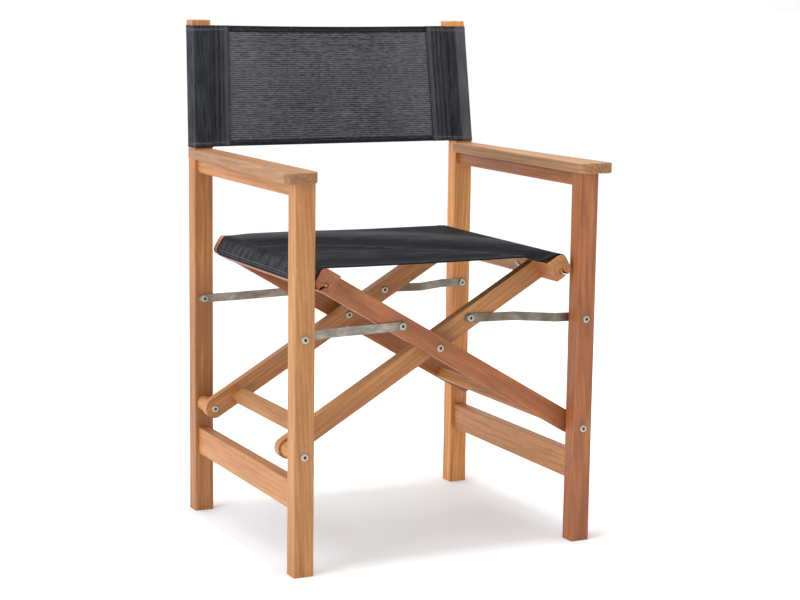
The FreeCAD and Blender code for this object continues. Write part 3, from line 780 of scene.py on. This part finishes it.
def back_panel(material):
    """Cloth between the two seams, its top edge a little slack and both edges with a dark hem."""
    heights = edge_rows(BACK_TALL, (0.0012, 0.003, 0.005), PANEL_ROWS)[:, None]
    across = np.linspace(-1.0, 1.0, PANEL_COLUMNS)
    share = heights / BACK_TALL
    reach = np.where(across > 0, PANEL_TUCK, PANEL_HEM) * smooth(0.80, 1.0, np.abs(across))
    x = across * (SEAM_X - LEAN_IN * share) + np.sign(across) * reach
    arch = 1 - across ** 2
    ripple = np.zeros_like(x)
    for wave, turn, phase, size in PANEL_RIPPLES:
        sway = 1.6 * np.sin(turn * x + phase) + 0.8 * np.sin(2.7 * turn * x + 2 * phase)
        ripple += size * np.sin(2 * math.pi * heights / wave + phase + sway)
    edge = np.minimum(heights, BACK_TALL - heights)
    ripple = ripple * smooth(0.008, 0.02, edge) * smooth(0.0, 0.1, 1 - np.abs(across))
    y = PANEL_Y + LEAN_BACK * share + PANEL_BELLY * arch * share + ripple
    z = BACK_BOTTOM + heights - PANEL_SLACK * arch * share ** 3
    points = np.stack([x, y, z], axis=-1)
    hem_tall = np.where(heights < BACK_TALL / 2, *PANEL_HEMS)
    hem = 1 - smooth(hem_tall, hem_tall + 0.0010, edge)
    groove = np.exp(-((edge - hem_tall + 0.0018) / 0.0010) ** 2)
    thickness = CLOTH * (1.0 + 0.5 * hem - 0.3 * groove)
    sides = smooth(0.45, 0.95, np.abs(across))
    tone = 0.16 * sides - 0.06 - 0.75 * hem
    made, normals = thick_sheet("back_panel_cloth", points, material, thickness, tone)
    return made, points, normals


def front_line(points, normals, row=None, column=None):
    """A stitch line along a row or a column, on the side of the sheet that faces the front."""
    if row is None:
        picked = [(i, column) for i in range(LINE_SKIP, points.shape[0] - LINE_SKIP)]
    else:
        picked = [(row, j) for j in range(LINE_SKIP, points.shape[1] - LINE_SKIP)]
    line = []
    for i, j in picked:
        normal = normals[i, j]
        if normal[1] > 0:
            normal = -normal
        line.append((points[i, j] + normal * LINE_LIFT, normal))
    return line


def hem_lines(points, normals, low, high):
    """Stitch lines of the lower and upper hem of a back cloth, at heights above its lower edge."""
    heights = points[:, points.shape[1] // 2, 2] - BACK_BOTTOM
    return [front_line(points, normals, row=nearest(heights, height)) for height in (low, high)]


def wear(node, *materials):
    """Give a CAD piece these materials in place of its own."""
    slots = NODES[node].data.materials
    slots.clear()
    for material in materials:
        slots.append(material)


# ------------------------------------------------------------------ build
SEAT_CLOTH = woven_cloth("seat_cloth", (0.008, 0.009, 0.011), (0.080, 0.080, 0.085))
SLEEVE_CLOTH = mesh_cloth("sleeve_cloth", (0.009, 0.0098, 0.0135), (0.100, 0.102, 0.112),
                          (300, 60, 26), 0.26, 0.10)
PANEL_CLOTH = mesh_cloth("panel_cloth", (0.013, 0.0125, 0.017), (0.166, 0.159, 0.176),
                         (95, 60, 700), 0.58, 0.46)
DARK_THREAD = thread("dark_thread", (0.060, 0.062, 0.070))
PALE_THREAD = thread("pale_thread", (0.14, 0.14, 0.148))

seat, seat_points, seat_normals, seat_edge = seat_sling(SEAT_CLOTH)
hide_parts("seat_sling")
seat_seams = stitches("seat_sling_stitches", seat_stitch_lines(seat_points, seat_normals), PALE_THREAD)
for piece in (seat, seat_seams):
    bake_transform(piece)

panel, panel_points, panel_normals = back_panel(PANEL_CLOTH)
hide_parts("back_panel")
panel_lines = hem_lines(panel_points, panel_normals, PANEL_STITCHES[0], BACK_TALL - PANEL_STITCHES[1])
panel_seams = stitches("back_panel_stitches", panel_lines, DARK_THREAD)
for piece in (panel, panel_seams):
    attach(piece, "left_side_frame")
    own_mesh(piece)

for side, tag in ((-1, "left"), (1, "right")):
    sleeve, points, normals, around = back_sleeve(side, SLEEVE_CLOTH)
    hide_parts(tag + "_back_sleeve")
    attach(sleeve, tag + "_side_frame")
    # the column of the front layer that lies closest to the seam stitching
    from_stitching = abs(abs(points[0, :, 0]) - SEAM_X - SEAM_STITCH)
    column = int(np.argmin(from_stitching + 10 * (points[0, :, 1] > PANEL_Y)))
    lines = [front_line(points, normals, column=column)]
    lines += hem_lines(points, normals, SLEEVE_STITCH, BACK_TALL - SLEEVE_STITCH)
    seams = stitches(tag + "_back_sleeve_stitches", lines, PALE_THREAD)
    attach(seams, tag + "_side_frame")

# ---- finishes of the CAD pieces
for seed, (node, (grain, tones, figure)) in enumerate(WOOD_PIECES.items()):
    wear(node, wood("teak_" + node, node, grain, *tones, seed + 1, figure))

# the right straps get a darker copy of the left straps' steel and stain: painted shade
STRAP_STEEL = {"left": steel("left_strap_steel", (0.41, 0.380, 0.320), (0.17, 0.120, 0.078)),
               "right": steel("right_strap_steel_shaded", (0.29, 0.262, 0.215), (0.13, 0.088, 0.055))}
BOLT_STEEL = plain_metal("bolt_steel", (0.50, 0.47, 0.40), 0.30)
# dark metal for the faces inside the hex sockets: painted shade of the recesses
SOCKET_SHADE_METAL = plain_metal("socket_painted_shade", (0.095, 0.088, 0.075), 0.5)
for tag, metal in STRAP_STEEL.items():
    wear(tag + "_front_strap", metal)
    wear(tag + "_rear_strap", metal)

BOLT_AXES = [(LEFT_PIVOT.x, LEFT_PIVOT.z), (RIGHT_PIVOT.x, RIGHT_PIVOT.z), (CENTRE.x, CENTRE.z)]
for tag in ("left", "right"):
    strap_pivot = Vector(JOINTS[tag + "_strap_pivot"]["pos_m"])
    low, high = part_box(tag + "_strap_studs")
    BOLT_AXES += [(strap_pivot.x, strap_pivot.z), ((low.x + high.x) / 2, (low.z + high.z) / 2)]
# faces inside a socket get the dark metal, painted shade for the recess
for node in TURNED_PIECES:
    wear(node, BOLT_STEEL, SOCKET_SHADE_METAL)
    mesh = NODES[node].data
    for face in mesh.polygons:
        corners = [NODES[node].matrix_world @ mesh.vertices[i].co for i in face.vertices]
        in_socket = any(all(math.hypot(c.x - x, c.z - z) < SOCKET_REACH for c in corners)
                        for x, z in BOLT_AXES)
        face.material_index = 1 if in_socket else 0


# ------------------------------------------------------------------ studio
def floor_material():
    """Matt white with a faint mottle."""
    shader = Shader("pale_floor")
    mottle = shader.noise(shader.coordinates(), 3.0, 3.0, 0.5)
    base = shader.mix(shader.ramp(mottle, (0.3, 0.0), (0.7, 1.0)), (0.96, 0.96, 0.96), (0.94, 0.94, 0.94))
    shader.put("Base Color", base)
    shader.put("Roughness", 0.9)
    return shader.material


def studio_floor():
    """A floor that runs far past the edge of every view."""
    mesh = bpy.data.meshes.new("studio_floor")
    corners = [(x * FLOOR_HALF, y * FLOOR_HALF, 0) for x, y in ((-1, -1), (1, -1), (1, 1), (-1, 1))]
    mesh.from_pydata(corners, [], [(0, 1, 2, 3)])
    mesh.materials.append(floor_material())
    add_object("studio_floor", mesh)


def soft_box(name, place, aim, size, power, colour):
    """A rectangular lamp turned towards a point."""
    light = bpy.data.lights.new(name, "AREA")
    light.shape = "RECTANGLE"
    light.size, light.size_y = size
    light.energy = power
    light.color = colour
    lamp = add_object(name, light)
    lamp.location = place
    lamp.rotation_mode = "QUATERNION"
    lamp.rotation_quaternion = (Vector(aim) - Vector(place)).to_track_quat("-Z", "Y")


def studio_world():
    """Pale room: brighter overhead, and behind the chair on its left, than in front on its right."""
    world = bpy.data.worlds.new("studio")
    world.use_nodes = True
    tree = world.node_tree
    place = tree.nodes.new("ShaderNodeTexCoord").outputs["Generated"]
    shades = []
    for direction, (start, end), light in ((ROOM_BRIGHT_SIDE, (0.0, 0.30), ROOM_LIGHT),
                                           ((0.0, 0.0, 1.0), (0.45, 0.90), (0.0, OVERHEAD_LIGHT))):
        facing = tree.nodes.new("ShaderNodeVectorMath")
        facing.operation = "DOT_PRODUCT"
        facing.inputs[1].default_value = direction
        tree.links.new(place, facing.inputs[0])
        spread = tree.nodes.new("ShaderNodeMapRange")
        spread.interpolation_type = "SMOOTHSTEP"
        for socket, value in zip(("From Min", "From Max", "To Min", "To Max"), (start, end, *light)):
            spread.inputs[socket].default_value = value
        tree.links.new(facing.outputs["Value"], spread.inputs["Value"])
        shades.append(spread.outputs["Result"])
    total = tree.nodes.new("ShaderNodeMath")
    total.operation = "ADD"
    for shade, socket in zip(shades, total.inputs):
        tree.links.new(shade, socket)
    tree.links.new(total.outputs[0], tree.nodes["Background"].inputs["Strength"])
    tree.nodes["Background"].inputs["Color"].default_value = (1.0, 1.0, 1.0, 1.0)
    bpy.context.scene.world = world


def camera():
    """The camera at its place, turned, tipped and rolled."""
    yaw, down, roll = (math.radians(a) for a in (CAMERA_YAW, CAMERA_DOWN, CAMERA_ROLL))
    forward = Vector((math.sin(yaw) * math.cos(down), math.cos(yaw) * math.cos(down), -math.sin(down)))
    level = Vector((math.cos(yaw), -math.sin(yaw), 0.0))
    upright = level.cross(forward)
    right = math.cos(roll) * level + math.sin(roll) * upright
    up = -math.sin(roll) * level + math.cos(roll) * upright
    data = bpy.data.cameras.new("camera")
    data.lens = CAMERA_LENS
    data.sensor_width = CAMERA_FILM
    made = add_object("camera", data)
    made.matrix_world = Matrix((right, up, -forward)).transposed().to_4x4()
    made.location = CAMERA_PLACE
    bpy.context.scene.camera = made


camera()
studio_floor()
studio_world()
for name, settings in SOFT_BOXES.items():
    soft_box(name, *settings)
bpy.context.scene.view_settings.view_transform = "Standard"
